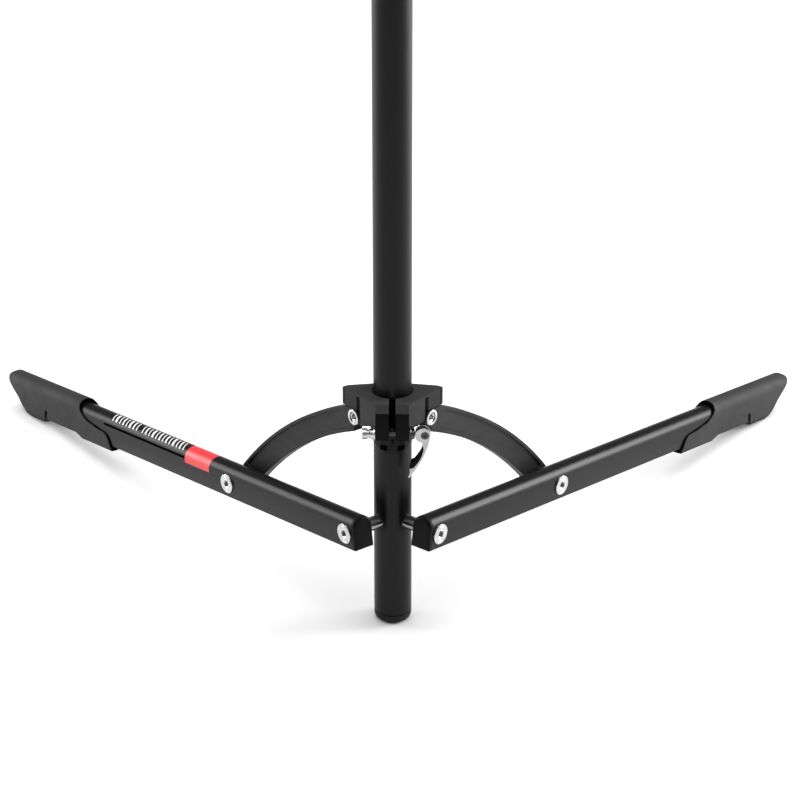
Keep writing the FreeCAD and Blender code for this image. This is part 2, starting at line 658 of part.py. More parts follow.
def make_skewer_nut():
    start, radius = size("nut_end"), size("nut_radius")
    blank = cylinder("nut_blank", "Sizes.nut_radius", "Sizes.nut_length", skewer_at(start))
    grips = []
    for number in range(12):
        angle = number * math.pi / 6
        place = skewer_at(start).multiply(at(radius * math.cos(angle), radius * math.sin(angle), 1.2))
        grips.append(cylinder(f"nut_grip_{number}", "Sizes.nut_grip_radius", "Sizes.nut_length - 3", place))
    bore = cylinder("nut_bore", "Sizes.rod_radius + Sizes.bolt_gap", "2 * Sizes.nut_length",
                    skewer_at(start - 2))
    node("skewer_nut", cut("nut", blank, bore, *grips))


def lever_outline():
    """Curved arm in the XZ plane, seen from the cam barrel."""
    return [(5.6, -1), (4.6, -6.7), ((-1.6, -25.1), (-11.5, -42.2)), (-13.6, -46.0), (-16.2, -49.2),
            (-17.2, -48.6), (-15.6, -44.0), (-15.4, -38.0), (-15.4, -33.4), ((-14.4, -30.6), (-11.9, -29.4)),
            ((-6.9, -22.2), (-2.3, -11.0)), (-3.4, -6)]


def make_lever():
    y, z = size("skewer_y"), size("skewer_z")
    centre = at(size("barrel_x"), y, z)
    on_side = Rotation(Vector(1, 0, 0), 90)
    half = size("lever_width") / 2
    cam = cylinder("cam_disc", "Sizes.cam_radius", "Sizes.lever_width",
                   at(size("barrel_x") - size("cam_throw"), y + half, z, on_side))
    arm = slab("lever_blade", lever_outline(), "Sizes.lever_width", centre)
    hole = cylinder("cam_hole", "Sizes.barrel_radius + Sizes.bolt_gap", "Sizes.lever_width + 2",
                    at(size("barrel_x"), y + half + 1, z, on_side))
    width = size("fork_width")
    fork = box("cam_fork", (-14, -width / 2, -width / 2), (28, width, 16), centre)
    inset = slab("lever_inset", insert_outline(), "Sizes.insert_width", centre)
    node("lever_arm", cut("lever", fuse("lever_solid", cam, arm), hole, fork, inset))
    node("lever_insert", slab("insert", insert_outline(), "Sizes.insert_width", centre))


def insert_outline():
    """Black grip set into the lever's inner side."""
    return [(-1.9, -12.4), (-1.3, -16.0), ((-5.3, -28.2), (-12.0, -37.6)), (-15.9, -38.2), (-15.9, -33.4),
            ((-14.8, -30.2), (-12.3, -29.0)), ((-7.4, -22.0), (-2.7, -12.2))]


# ---------------------------------------------------------------- build, check and write

def build():
    make_column()
    make_column_foot()
    make_pivot_block()
    make_mast_guide()
    make_collar_body()
    make_clamp_band()
    make_collar_liner()
    make_skewer()
    make_skewer_nut()
    make_lever()
    for side in SIDES:
        make_pivot_hardware(side)
        make_leg_tube(side)
        make_leg_end_cap(side)
        make_leg_hardware(side)
        make_boot(side)
        make_foot_pad(side)
        make_strut(side)
        make_pin_bolt(side)
    doc.recompute()


def check():
    for obj in doc.Objects:
        if "Invalid" in obj.State or "Error" in obj.State:
            raise RuntimeError(f"{obj.Label} failed: {obj.State}")
    for label, obj in nodes.items():
        if obj.Shape.isNull() or not obj.Shape.isValid() or not obj.Shape.Solids:
            raise RuntimeError(f"{label} has no valid solid")


def write():
    os.makedirs("parts", exist_ok=True)
    for label, obj in nodes.items():
        obj.Shape.exportStep(f"parts/{label}.step")
        box_of = obj.Shape.BoundBox
        print(f"{label}: {len(obj.Shape.Solids)} solid(s), {obj.Shape.Volume:.0f} mm3, "
              f"z {box_of.ZMin:.1f}..{box_of.ZMax:.1f}")


build()
check()
write()
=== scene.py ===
import json
import math

import bmesh
import bpy
from mathutils import Matrix, Vector


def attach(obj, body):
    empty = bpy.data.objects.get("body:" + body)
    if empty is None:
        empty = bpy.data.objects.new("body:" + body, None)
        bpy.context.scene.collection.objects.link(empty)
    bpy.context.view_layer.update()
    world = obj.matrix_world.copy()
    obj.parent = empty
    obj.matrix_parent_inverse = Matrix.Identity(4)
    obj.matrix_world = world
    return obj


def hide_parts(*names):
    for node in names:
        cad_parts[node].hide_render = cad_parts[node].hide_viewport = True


# Looks of the folding stand base. Blender's own unit is metres, in the CAD model's frame:
# origin on the column axis at the floor, +Z up, legs towards +Y, lever on the +X side.
# Shapes are written in millimetres and scaled once, when a piece is made.

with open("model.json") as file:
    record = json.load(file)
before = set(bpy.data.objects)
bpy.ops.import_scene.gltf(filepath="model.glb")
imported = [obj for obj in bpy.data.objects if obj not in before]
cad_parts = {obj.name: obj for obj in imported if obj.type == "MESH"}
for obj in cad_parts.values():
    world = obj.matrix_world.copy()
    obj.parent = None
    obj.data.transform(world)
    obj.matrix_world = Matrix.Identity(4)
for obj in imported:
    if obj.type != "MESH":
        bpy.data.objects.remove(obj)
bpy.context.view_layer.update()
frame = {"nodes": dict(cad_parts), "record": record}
NODES = frame["nodes"]
MM = 0.001
WEAR_RADIUS = 0.6 * MM

# ---------------------------------------------------------------- materials


class Shader:
    """Short way to build one node material."""

    def __init__(self, name):
        self.material = bpy.data.materials.new(name)
        self.material.use_nodes = True
        self.tree = self.material.node_tree
        self.tree.nodes.clear()
        self.output = self.add("ShaderNodeOutputMaterial")
        self.surface = self.add("ShaderNodeBsdfPrincipled")
        self.link(self.surface, "BSDF", self.output, "Surface")
        self.place = self.add("ShaderNodeTexCoord")

    def add(self, kind, **inputs):
        node = self.tree.nodes.new(kind)
        for name, value in inputs.items():
            self.set(node, name.replace("_", " "), value)
        return node

    def set(self, node, socket, value):
        node.inputs[socket].default_value = value

    def link(self, a, out, b, into):
        self.tree.links.new(a.outputs[out], b.inputs[into])

    def noise(self, scale, detail, stretch=(1, 1, 1)):
        """Object-space noise, optionally stretched into a brushed or drawn grain."""
        mapping = self.add("ShaderNodeMapping")
        mapping.inputs["Scale"].default_value = stretch
        self.link(self.place, "Object", mapping, "Vector")
        noise = self.add("ShaderNodeTexNoise", Scale=scale, Detail=detail, Roughness=0.55)
        self.link(mapping, "Vector", noise, "Vector")
        return noise

    def ramp(self, source, low, high, low_at=0.3):
        """Maps a factor to a colour between two values."""
        ramp = self.add("ShaderNodeValToRGB")
        ramp.color_ramp.elements[0].position = low_at
        ramp.color_ramp.elements[1].position = 0.7
        ramp.color_ramp.elements[0].color = low
        ramp.color_ramp.elements[1].color = high
        self.link(source, "Fac", ramp, "Fac")
        return ramp

    def bump(self, source, strength, distance, onto=None):
        """Bump from a noise, laid over another bump where one is given."""
        bump = self.add("ShaderNodeBump", Strength=strength, Distance=distance)
        self.link(source, "Fac", bump, "Height")
        if onto:
            self.link(onto, "Normal", bump, "Normal")
        self.link(bump, "Normal", self.surface, "Normal")
        return bump

    def colour(self, low, high, scale, wear=None, amount=0.5):
        """Base colour with slight patches and, where wear is given, rubbed convex edges."""
        tint = self.ramp(self.noise(scale, 4), low, high)
        if wear is None:
            self.link(tint, "Color", self.surface, "Base Color")
            return
        mix = self.add("ShaderNodeMix")
        mix.data_type = "RGBA"
        self.link(self.worn_edges(amount), "Value", mix, "Factor")
        self.link(tint, "Color", mix, "A")
        self.set(mix, "B", wear)
        self.link(mix, "Result", self.surface, "Base Color")

    def worn_edges(self, amount):
        """Factor that is above zero on edges, broken up by patches of a noise."""
        bevel = self.add("ShaderNodeBevel", Radius=WEAR_RADIUS)
        bevel.samples = 4
        geometry = self.add("ShaderNodeNewGeometry")
        dot = self.add("ShaderNodeVectorMath")
        dot.operation = "DOT_PRODUCT"
        self.link(bevel, "Normal", dot, 0)
        self.link(geometry, "Normal", dot, 1)
        edge = self.add("ShaderNodeMapRange")
        self.set(edge, "From Min", 0.99)
        self.set(edge, "From Max", 0.84)
        self.link(dot, "Value", edge, "Value")
        patches = self.ramp(self.noise(230, 4), grey(0), grey(amount), 0.45)
        both = self.add("ShaderNodeMath")
        both.operation = "MULTIPLY"
        self.link(edge, "Result", both, 0)
        self.link(patches, "Color", both, 1)
        return both

    def rough(self, low, high, source):
        """Roughness that wanders between two values."""
        ramp = self.ramp(source, grey(low), grey(high))
        self.link(ramp, "Color", self.surface, "Roughness")


def grey(value):
    return (value, value, value, 1.0)


def coated(name, shade, low, high, stretch, specular=0.5, grain=0.06):
    """Black anodised tube: satin, with a faint drawn grain along it and fine pitting."""
    s = Shader(name)
    s.set(s.surface, "Specular IOR Level", specular)
    s.colour(grey(shade * 0.75), grey(shade * 1.3), 11, grey(0.06), 0.35)
    drawn = s.noise(90, 5, stretch)
    s.rough(low, high, drawn)
    fine = s.bump(s.noise(2600, 2), grain, 0.0001)
    s.bump(drawn, 0.04, 0.0002, onto=fine)
    return s.material


def moulded(name, shade, low, high, scale=1500, depth=0.00015, strength=0.3, specular=0.5):
    """Moulded plastic or a cast and painted part: eroded grain, slight patches, rubbed edges."""
    s = Shader(name)
    s.set(s.surface, "Specular IOR Level", specular)
    s.colour(grey(shade * 0.8), grey(shade * 1.25), 16, grey(min(shade * 3 + 0.03, 0.2)), 0.45)
    s.rough(low, high, s.noise(45, 5))
    fine = s.bump(s.noise(scale, 3), strength, depth)
    s.bump(s.noise(60, 2), 0.05, 0.0004, onto=fine)
    return s.material


def metal(name, shade, low, high):
    """Bare or plated metal with a fine grain and faint stains."""
    s = Shader(name)
    s.set(s.surface, "Metallic", 1.0)
    s.colour(grey(shade * 0.82), grey(shade * 1.08), 120)
    fine = s.noise(420, 4)
    s.rough(low, high, fine)
    s.bump(fine, 0.1, 0.00008)
    return s.material


def printed(name, colour, low, high, specular=0.5):
    """Printed film: even colour with slight mottling and a soft gloss."""
    s = Shader(name)
    s.set(s.surface, "Specular IOR Level", specular)
    dark = tuple(c * 0.86 for c in colour) + (1,)
    s.colour(dark, tuple(colour) + (1,), 160)
    s.rough(low, high, s.noise(90, 3))
    s.bump(s.noise(900, 2), 0.08, 0.00008)
    return s.material


MATERIALS = {
    "column_black": coated("column_black", 0.004, 0.3, 0.4, (1, 1, 0.02), 0.18),
    "leg_black": coated("leg_black", 0.003, 0.28, 0.38, (0.02, 1, 1), 0.175),
    "strut_black": coated("strut_black", 0.012, 0.45, 0.55, (0.05, 1, 1), 0.19, 0.12),
    "foot_black": moulded("foot_black", 0.006, 0.5, 0.62, specular=0.2),
    "block_alloy": metal("block_alloy", 0.6, 0.35, 0.5),
    "guide_plastic": moulded("guide_plastic", 0.008, 0.4, 0.5, specular=0.3),
    "housing_black": moulded("housing_black", 0.046, 0.5, 0.62, specular=0.03),
    "band_black": moulded("band_black", 0.003, 0.4, 0.5, specular=0.06),
    "liner_black": moulded("liner_black", 0.004, 0.4, 0.5, specular=0.12),
    "bright_steel": metal("bright_steel", 0.62, 0.2, 0.34),
    "dark_steel": metal("dark_steel", 0.08, 0.3, 0.42),
    "insert_black": moulded("insert_black", 0.002, 0.35, 0.45, specular=0.06),
    "cap_black": moulded("cap_black", 0.002, 0.34, 0.46, specular=0.1),
    "bush_plastic": moulded("bush_plastic", 0.02, 0.45, 0.55, specular=0.3),
    "boot_grey": moulded("boot_grey", 0.018, 0.6, 0.74, 1300, 0.0002, 0.4, specular=0.3),
    "tread_rubber": moulded("tread_rubber", 0.012, 0.7, 0.85, 800, 0.0003, 0.5, specular=0.2),
}
LEVER_STEEL = metal("lever_steel", 0.44, 0.26, 0.4)
AXLE_STEEL = metal("axle_steel", 0.3, 0.14, 0.24)
BAND_RED = printed("band_red", (0.78, 0.035, 0.045), 0.32, 0.42)
MARK_WHITE = printed("mark_white", (0.86, 0.86, 0.86), 0.4, 0.5)
# Black film: print for the leg's black line, and painted shade at the boot mouths and behind the liner's
# windows and slit.
BLACK_PRINT_AND_SHADE = printed("black_print_and_shade", (0.002, 0.002, 0.002), 0.8, 0.9, 0.0)
SOCKET_PAINTED_SHADE = moulded("socket_painted_shade", 0.012, 0.4, 0.6, specular=0.2)

# ---------------------------------------------------------------- places on the stand

AZIMUTH = math.radians(51.95)
SLOPE = math.radians(8.52)
PIVOT = Vector((0, 0, 122.3))
LEG_INNER, LEG_OUTER = 38.85, 62.85
LEG_MIDDLE = (LEG_INNER + LEG_OUTER) / 2
LEG_START, LEG_END = -12.5, 676.0
STRUT_BOLT = 222.3
GAP = 0.05
PIN_ALONG, PIN_UP, STRUT_OUTER = 18.4, 242.8, 36.0
SKEWER_Y, SKEWER_Z = -28.0, 233.6
BARREL_X = 33.6
COLUMN_RADIUS, COLUMN_WALL, COLUMN_BOTTOM, COLUMN_TOP = 20.0, 2.0, 11.0, 900.0
WORLD = Matrix.Identity(4)
ORIGIN = Vector((0, 0, 0))
UP = Vector((0, 0, 1))
ACROSS = Vector((1, 0, 0))


class Side:
    """A leg's side of the stand. Local X runs along, Z up, and Y is out for the left leg and in for
    the right, so that both frames are right-handed."""

    def __init__(self, name, sign):
        self.name = name
        self.flip = -sign
        level = Vector((sign * math.cos(AZIMUTH), math.sin(AZIMUTH), 0))
        self.out = Vector((sign * math.sin(AZIMUTH), -math.cos(AZIMUTH), 0))
        down_leg = level * math.cos(SLOPE) - UP * math.sin(SLOPE)
        above_leg = level * math.sin(SLOPE) + UP * math.cos(SLOPE)
        self.leg = self.matrix(PIVOT, down_leg, above_leg)
        self.strut = self.matrix(level * PIN_ALONG + UP * PIN_UP, level, UP)

    def matrix(self, origin, along, up):
        rows = Matrix((along, self.out * self.flip, up)).transposed().to_4x4()
        return Matrix.Translation(origin * MM) @ rows

    def at(self, along, out, up):
        """A point of this side in its local frame, in millimetres."""
        return Vector((along, out * self.flip, up))


SIDES = (Side("right", 1), Side("left", -1))

# ---------------------------------------------------------------- making pieces


def piece(name, bm, material, body, nodes=(), place=WORLD, sharp=38.0, bevel=0.0, steps=2):
    """Turns a bmesh in millimetres into a shown piece that rides on a body."""
    bmesh.ops.remove_doubles(bm, verts=bm.verts, dist=0.0005)
    bmesh.ops.recalc_face_normals(bm, faces=bm.faces)
    if bevel:
        bevel_edges(bm, bevel, steps)
    bmesh.ops.scale(bm, vec=(MM, MM, MM), verts=bm.verts)
    mesh = bpy.data.meshes.new(name)
    bm.to_mesh(mesh)
    bm.free()
    for polygon in mesh.polygons:
        polygon.use_smooth = True
    mesh.set_sharp_from_angle(angle=math.radians(sharp))
    obj = bpy.data.objects.new(name, mesh)
    bpy.context.scene.collection.objects.link(obj)
    mesh.materials.append(material)
    obj.matrix_world = place
    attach(obj, body)
    if nodes:
        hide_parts(*nodes)


def bevel_edges(bm, width, steps):
    """Rounds every convex or concave edge sharper than 30 degrees."""
    sharpest = math.radians(30)
    edges = [e for e in bm.edges if len(e.link_faces) == 2 and e.calc_face_angle(0) > sharpest]
    bmesh.ops.bevel(bm, geom=edges, offset=width, offset_type="OFFSET", segments=steps, profile=0.6,
                    affect="EDGES", clamp_overlap=True)


def from_node(name, place=WORLD):
    """A clean copy of a CAD node in millimetres: flat faces are joined into single ones."""
    bm = bmesh.new()
    bm.from_mesh(NODES[name].data)
    bmesh.ops.transform(bm, matrix=Matrix.Scale(1 / MM, 4) @ place.inverted(), verts=bm.verts)
    bmesh.ops.remove_doubles(bm, verts=bm.verts, dist=0.002)
    bmesh.ops.dissolve_limit(bm, angle_limit=math.radians(0.6), verts=bm.verts, edges=bm.edges)
    return bm


def refined(node, slot, body, bevel, steps=2, place=WORLD, sharp=38.0, material=None):
    """A CAD node shown again with its edges rounded."""
    bm = from_node(node, place)
    look = material or MATERIALS[slot]
    piece(node + "_shape", bm, look, body, [node], place, sharp, bevel, steps)


def skin(bm, rings, caps=True):
    """Joins rings of points into a surface; caps fill the ends."""
    rows = [[bm.verts.new(p) for p in ring] for ring in rings]
    count = len(rows[0])
    for low, high in zip(rows, rows[1:]):
        for i in range(count):
            j = (i + 1) % count
            bm.faces.new((low[i], low[j], high[j], high[i]))
    if caps:
        bm.faces.new(rows[0][::-1])
        bm.faces.new(rows[-1])


def frame_about(axis):
    """Two directions square to an axis."""
    axis = axis.normalized()
    helper = UP if abs(axis.z) < 0.9 else ACROSS
    side = axis.cross(helper).normalized()
    return side, axis.cross(side)


def turned(bm, centre, axis, profile, count=64, caps=True):
    """Surface turned about an axis. A profile entry is (height, radius) or (height, radius, sides)
    for a ring that is a polygon of that many sides."""
    axis = axis.normalized()
    u, w = frame_about(axis)
    rings = []
    for entry in profile:
        height, radius = entry[:2]
        sides = entry[2] if len(entry) > 2 else 0
        ring = []
        for i in range(count):
            angle = 2 * math.pi * i / count
            reach = radius
            if sides:
                half = math.pi / sides
                reach = radius * math.cos(half) / math.cos((angle % (2 * half)) - half)
            ring.append(centre + axis * height + (u * math.cos(angle) + w * math.sin(angle)) * reach)
        rings.append(ring)
    skin(bm, rings, caps)


def bar(bm, centre, sizes, place=None):
    """Box of three sizes about a centre."""
    verts = bmesh.ops.create_cube(bm, size=1.0)["verts"]
    bmesh.ops.scale(bm, vec=sizes, verts=verts)
    if place is not None:
        bmesh.ops.transform(bm, matrix=place, verts=verts)
    bmesh.ops.translate(bm, vec=centre, verts=verts)


def corner_arc(centre_n, centre_v, radius, start):
    """Quarter circle, anticlockwise from a start angle in degrees."""
    steps = 4
    points = []
    for i in range(steps + 1):
        angle = math.radians(start + 90 * i / steps)
        points.append((centre_n + radius * math.cos(angle), centre_v + radius * math.sin(angle)))
    return points


def oblong(half, low, top, corner):
    """Section of a leg as (out from its middle, up) points, anticlockwise from the lower outer corner."""
    spring = top - half
    round_top = []
    for i in range(25):
        angle = math.pi * i / 24
        round_top.append((half * math.cos(angle), spring + half * math.sin(angle)))
    outer = corner_arc(half - corner, low + corner, corner, -90)
    inner = corner_arc(corner - half, low + corner, corner, 180)
    return outer + round_top + inner


# half width, underside, top and lower corner radius, about the pivot axis
LEG_SECTION = (12.0, -16.7, 20.0, 1.0)


def leg_ring(side, along, grow=0.0):
    """The leg's section at a station, grown or shrunk all round."""
    half, low, top, corner = LEG_SECTION
    points = oblong(half + grow, low - grow, top + grow, max(corner + grow, 0.3))
    return [side.at(along, LEG_MIDDLE + n, v) for n, v in points]


# ---------------------------------------------------------------- column


def make_column():
    bm = bmesh.new()
    outer, inner = COLUMN_RADIUS, COLUMN_RADIUS - COLUMN_WALL
    low, high, edge = COLUMN_BOTTOM, COLUMN_TOP, 0.6
    steps = [low + edge + (high - low - 2 * edge) * i / 12 for i in range(13)]
    profile = [(low, inner), (low, outer - edge)] + [(z, outer) for z in steps]
    profile += [(high, outer - edge), (high, inner)]
    profile += [(z, inner) for z in reversed(steps)] + [(low, inner)]
    turned(bm, ORIGIN, UP, profile, 96, caps=False)
    piece("column_tube_shape", bm, MATERIALS["column_black"], "column", ["column_tube"])


def make_column_foot():
    """Moulded foot with a ribbed pocket underneath."""
    bm = bmesh.new()
    profile = [(0, 9.0), (0, 13.6), (0.5, 14.8), (1.6, 17.2), (3.4, 18.9), (6.2, 19.75), (9.4, 19.95),
               (10.3, 19.9), (10.55, 19.3), (10.8, 19.3), (11.0, 19.6), (11.0, 17.9), (27, 17.9), (27, 14),
               (6, 14), (6, 9.0), (1.2, 9.0)]
    turned(bm, ORIGIN, UP, profile + [(0, 9.0)], 96, caps=False)
    turned(bm, ORIGIN, UP, [(1.2, 8.9), (2.0, 8.9)], 48)
    for i in range(6):
        angle = math.pi * i / 3
        turn = Matrix.Rotation(angle, 4, "Z")
        bar(bm, Vector((4.4 * math.cos(angle), 4.4 * math.sin(angle), 1.1)), (8.0, 1.2, 1.4), turn)
    piece("column_foot_shape", bm, MATERIALS["foot_black"], "column", ["column_foot"])


def make_mast_guide():
    """Plastic sleeve with a rim that is notched all round for grip."""
    bm = bmesh.new()
    top = COLUMN_TOP
    profile = [(top - 60, 17.0), (top - 60, 17.9), (top, 17.9), (top, 21.0), (top + 0.4, 21.2),
               (top + 2.0, 21.2), (top + 2.8, 20.6), (top + 3.0, 19.8), (top + 3.0, 18.0), (top + 2.4, 17.2),
               (top + 1.6, 17.0), (top - 60, 17.0)]
    turned(bm, ORIGIN, UP, profile, 96, caps=False)
    for i in range(24):
        angle = math.pi * i / 12
        turn = Matrix.Rotation(angle, 4, "Z")
        bar(bm, Vector((21.1 * math.cos(angle), 21.1 * math.sin(angle), top + 1.1)), (0.5, 1.4, 1.5), turn)
    piece("mast_guide_shape", bm, MATERIALS["guide_plastic"], "column",
          ["mast_guide_sleeve"])


# ---------------------------------------------------------------- fasteners


def socket_bolt(name, place, centre, axis, sizes, body, node, dish=0.0):
    """Flat-headed bolt with a hexagon socket, dished where asked; centre is on the head's underside.
    Sizes: head radius, head thickness, shank radius, length, socket radius."""
    radius, thickness, shank, length, socket = sizes
    bm = bmesh.new()
    face = thickness
    floor = face - 1.9
    profile = [(-length, shank - 0.6), (-length + 0.6, shank), (0, shank), (0, radius - 0.25),
               (0.25, radius), (face - 0.5, radius), (face - 0.12, radius - 0.35), (face, radius - 0.8)]
    if dish:
        profile += [(face, dish + 0.5), (face - 0.5, dish), (face - 1.1, dish - 0.9),
                    (face - 1.2, socket + 0.5)]
        face -= 1.2
    else:
        profile += [(face, radius - 2.2), (face - 0.1, radius - 2.35), (face, radius - 2.5),
                    (face, socket + 1.1), (face - 0.08, socket + 0.95), (face, socket + 0.8),
                    (face, socket + 0.5)]
    profile += [(face - 0.25, socket + 0.2, 6), (face - 0.4, socket, 6), (floor + 0.2, socket, 6),
                (floor, socket - 0.4, 6), (floor, 1.0), (floor - 1.2, 0.6)]
    turned(bm, centre, axis, profile, 72)
    piece(name, bm, MATERIALS["bright_steel"], body, [node], place, sharp=26)

    # Dark discs on the socket's floor and across the dish's recess: painted shade in the hollows.
    bm = bmesh.new()
    turned(bm, centre, axis, [(floor + 0.02, 1.1), (floor + 0.05, 1.1), (floor + 0.05, socket - 0.5, 6),
                              (floor + 0.02, socket - 0.5, 6), (floor + 0.02, 1.1)], 48, caps=False)
    if dish:
        low = thickness - 1.17
        turned(bm, centre, axis, [(low, socket + 0.6), (low + 0.05, socket + 0.6), (low + 0.15, dish - 1.0),
                                  (low + 0.62, dish - 0.15), (low + 0.55, dish - 0.1), (low, dish - 0.9),
                                  (low, socket + 0.6)], 48, caps=False)
    piece(name + "_shade", bm, SOCKET_PAINTED_SHADE, body, (), place, sharp=26)


def make_bolts(side):
    """The leg's pivot bolt and strut bolt, and the dished pin that holds the strut in the collar."""
    out = side.at(0, 1, 0)
    head = LEG_OUTER + GAP
    socket_bolt("pivot_bolt_shape_" + side.name, side.leg, side.at(0, head, 0), out,
                (11, 2, 4, 54, 4.2), "column", "leg_pivot_bolt_" + side.name)
    socket_bolt("strut_bolt_shape_" + side.name, side.leg, side.at(STRUT_BOLT, head, 0), out,
                (11, 2, 4, 26.4, 4.2), "leg_" + side.name, "leg_strut_bolt_" + side.name)
    pin_head = STRUT_OUTER + GAP
    socket_bolt("pin_bolt_shape_" + side.name, side.strut, side.at(0, pin_head, 0), out,
                (8.5, 2, 3, 17, 4.0), "collar", "collar_strut_bolt_" + side.name, dish=5.6)


def make_strut_washer(side):
    thickness, lip = 2.4, 0.2
    inner, outer = 4.05, 10
    profile = [(0, inner), (0, outer - lip), (lip, outer), (thickness - lip, outer),
               (thickness, outer - lip), (thickness, inner), (0, inner)]
    bm = bmesh.new()
    turned(bm, side.at(STRUT_BOLT, LEG_INNER - thickness - GAP, 0), side.at(0, 1, 0), profile, caps=False)
    piece("strut_washer_shape_" + side.name, bm, MATERIALS["bright_steel"], "leg_" + side.name,
          ["strut_washer_" + side.name], side.leg)


def make_axle_spacer(side):
    """Bright tube between column and leg, with a groove near the leg."""
    bm = bmesh.new()
    start, end = 17.5, LEG_INNER - 1.05
    profile = [(start, 4.1), (start, 7.5), (end - 2.2, 7.5), (end - 1.9, 7.0), (end - 1.5, 7.0),
               (end - 1.2, 7.5), (end - 0.3, 7.5), (end, 7.2), (end, 4.1), (start, 4.1)]
    turned(bm, ORIGIN, side.at(0, 1, 0), profile, caps=False)
    piece("axle_spacer_shape_" + side.name, bm, AXLE_STEEL, "column",
          ["axle_spacer_" + side.name], side.leg)


def make_strut_end_nut(side):
    """Hexagon nut and threaded stud behind the strut's lower eye."""
    out = side.at(0, 1, 0)
    bm = bmesh.new()
    at_nut = STRUT_OUTER - 11 - 5 - GAP
    profile = [(at_nut, 4.1), (at_nut, 5.6), (at_nut + 0.4, 6.4), (at_nut + 0.7, 7.2, 6),
               (at_nut + 4.3, 7.2, 6), (at_nut + 4.7, 6.5), (at_nut + 5, 6.3), (at_nut + 5, 4.1),
               (at_nut, 4.1)]
    turned(bm, side.at(STRUT_BOLT, 0, 0), out, profile, 48, caps=False)
    threads = [(at_nut - 0.25, 3.2)]
    for i in range(14):
        threads += [(at_nut + 0.1 + 0.4 * i, 3.95), (at_nut + 0.3 + 0.4 * i, 3.6)]
    threads += [(at_nut + 16, 3.95)]
    turned(bm, side.at(STRUT_BOLT, 0, 0), out, threads, 48)
    piece("strut_end_nut_shape_" + side.name, bm, MATERIALS["bright_steel"], "strut_" + side.name,
          ["strut_end_nut_" + side.name], side.leg, sharp=26)


# ---------------------------------------------------------------- legs


def make_leg(side):
    start, end, wall = LEG_START, LEG_END, 2.0
    bm = bmesh.new()
    stations = [start + 0.35] + [start + (end - start) * i / 16 for i in range(1, 16)] + [end - 0.35]
    rings = [leg_ring(side, start, -0.35)] + [leg_ring(side, x) for x in stations]
    rings += [leg_ring(side, end, -0.35), leg_ring(side, end, -wall), leg_ring(side, start, -wall),
              leg_ring(side, start, -0.35)]
    skin(bm, rings, caps=False)
    piece("leg_tube_shape_" + side.name, bm, MATERIALS["leg_black"], "leg_" + side.name,
          ["leg_tube_" + side.name], side.leg)


def make_leg_end_cap(side):
    """Moulded cap with a rounded rim on the leg's pivot end."""
    start, depth = LEG_START, 5.0
    bm = bmesh.new()
    rings = [leg_ring(side, start + 5.5, -2.2), leg_ring(side, start - 0.05, -2.2),
             leg_ring(side, start - 0.05, -0.55), leg_ring(side, start - 0.3, -0.1)]
    radius = 3.2
    for i in range(7):
        angle = math.radians(15 * i)
        rings.append(leg_ring(side, start - depth + radius * (1 - math.sin(angle)),
                              -radius * (1 - math.cos(angle)) - 0.02))
    skin(bm, rings)
    piece("leg_end_cap_shape_" + side.name, bm, MATERIALS["cap_black"], "leg_" + side.name,
          ["leg_end_cap_" + side.name], side.leg, sharp=50)


def section_point(angle_or_drop, offset):
    """A point (out, up) on the leg's skin: degrees round the top from its outer side, or millimetres
    down the flat side below it where negative."""
    half, _, top, _ = LEG_SECTION
    spring = top - half
    if angle_or_drop < 0:
        return half + offset, spring + angle_or_drop
    angle = math.radians(angle_or_drop)
    return (half + offset) * math.cos(angle), spring + (half + offset) * math.sin(angle)


def film(bm, side, corners, steps, thickness):
    """Thin printed film on the leg's skin. corners: where its lower edge starts and ends along the leg,
    the same for its upper edge, and where the two edges lie round the section."""
    (low_a, low_b), (high_a, high_b), (round_low, round_high) = corners
    rows = []
    for lift in (thickness, 0.01):
        row = []
        for i in range(steps + 1):
            t = i / steps
            where = round_low + (round_high - round_low) * t
            n, v = section_point(where, lift)
            a = low_a + (high_a - low_a) * t
            b = low_b + (high_b - low_b) * t
            row.append((side.at(a, LEG_MIDDLE + n, v), side.at(b, LEG_MIDDLE + n, v)))
        rows.append(row)
    rings = []
    for i in range(steps + 1):
        (a_up, b_up), (a_low, b_low) = rows[0][i], rows[1][i]
        rings.append([a_up, b_up, b_low, a_low])
    skin(bm, rings)


def make_marks(side):
    """Plain red band, a black line, and a row of plain slanted white strokes."""
    leg = "leg_" + side.name
    bm = bmesh.new()
    film(bm, side, ((258.5, 308.5), (255, 307), (0.01, 118)), 24, 0.1)
    film(bm, side, ((258.7, 308.6), (258.5, 308.5), (-4.2, -0.001)), 3, 0.1)
    piece("leg_red_band", bm, BAND_RED, leg, (), side.leg)

    bm = bmesh.new()
    film(bm, side, ((308.8, 486), (308.8, 486), (1, 15)), 3, 0.05)
    piece("leg_black_line", bm, BLACK_PRINT_AND_SHADE, leg, (), side.leg)

    bm = bmesh.new()
    at = 315.0
    widths = (1.9, 3.0, 1.9, 4.0, 1.9, 3.0, 1.9, 3.0, 1.9, 4.0, 1.9, 3.0, 1.9, 1.9, 3.0, 4.0, 1.9, 3.0,
              1.9, 4.0, 1.9)
    lean = 4.0
    for number, width in enumerate(widths):
        film(bm, side, ((at, at + width), (at + lean, at + lean + width), (42, 98)), 8, 0.06)
        at += width + (11.0 if number == 12 else 4.7)
    piece("leg_white_strokes", bm, MARK_WHITE, leg, (), side.leg)


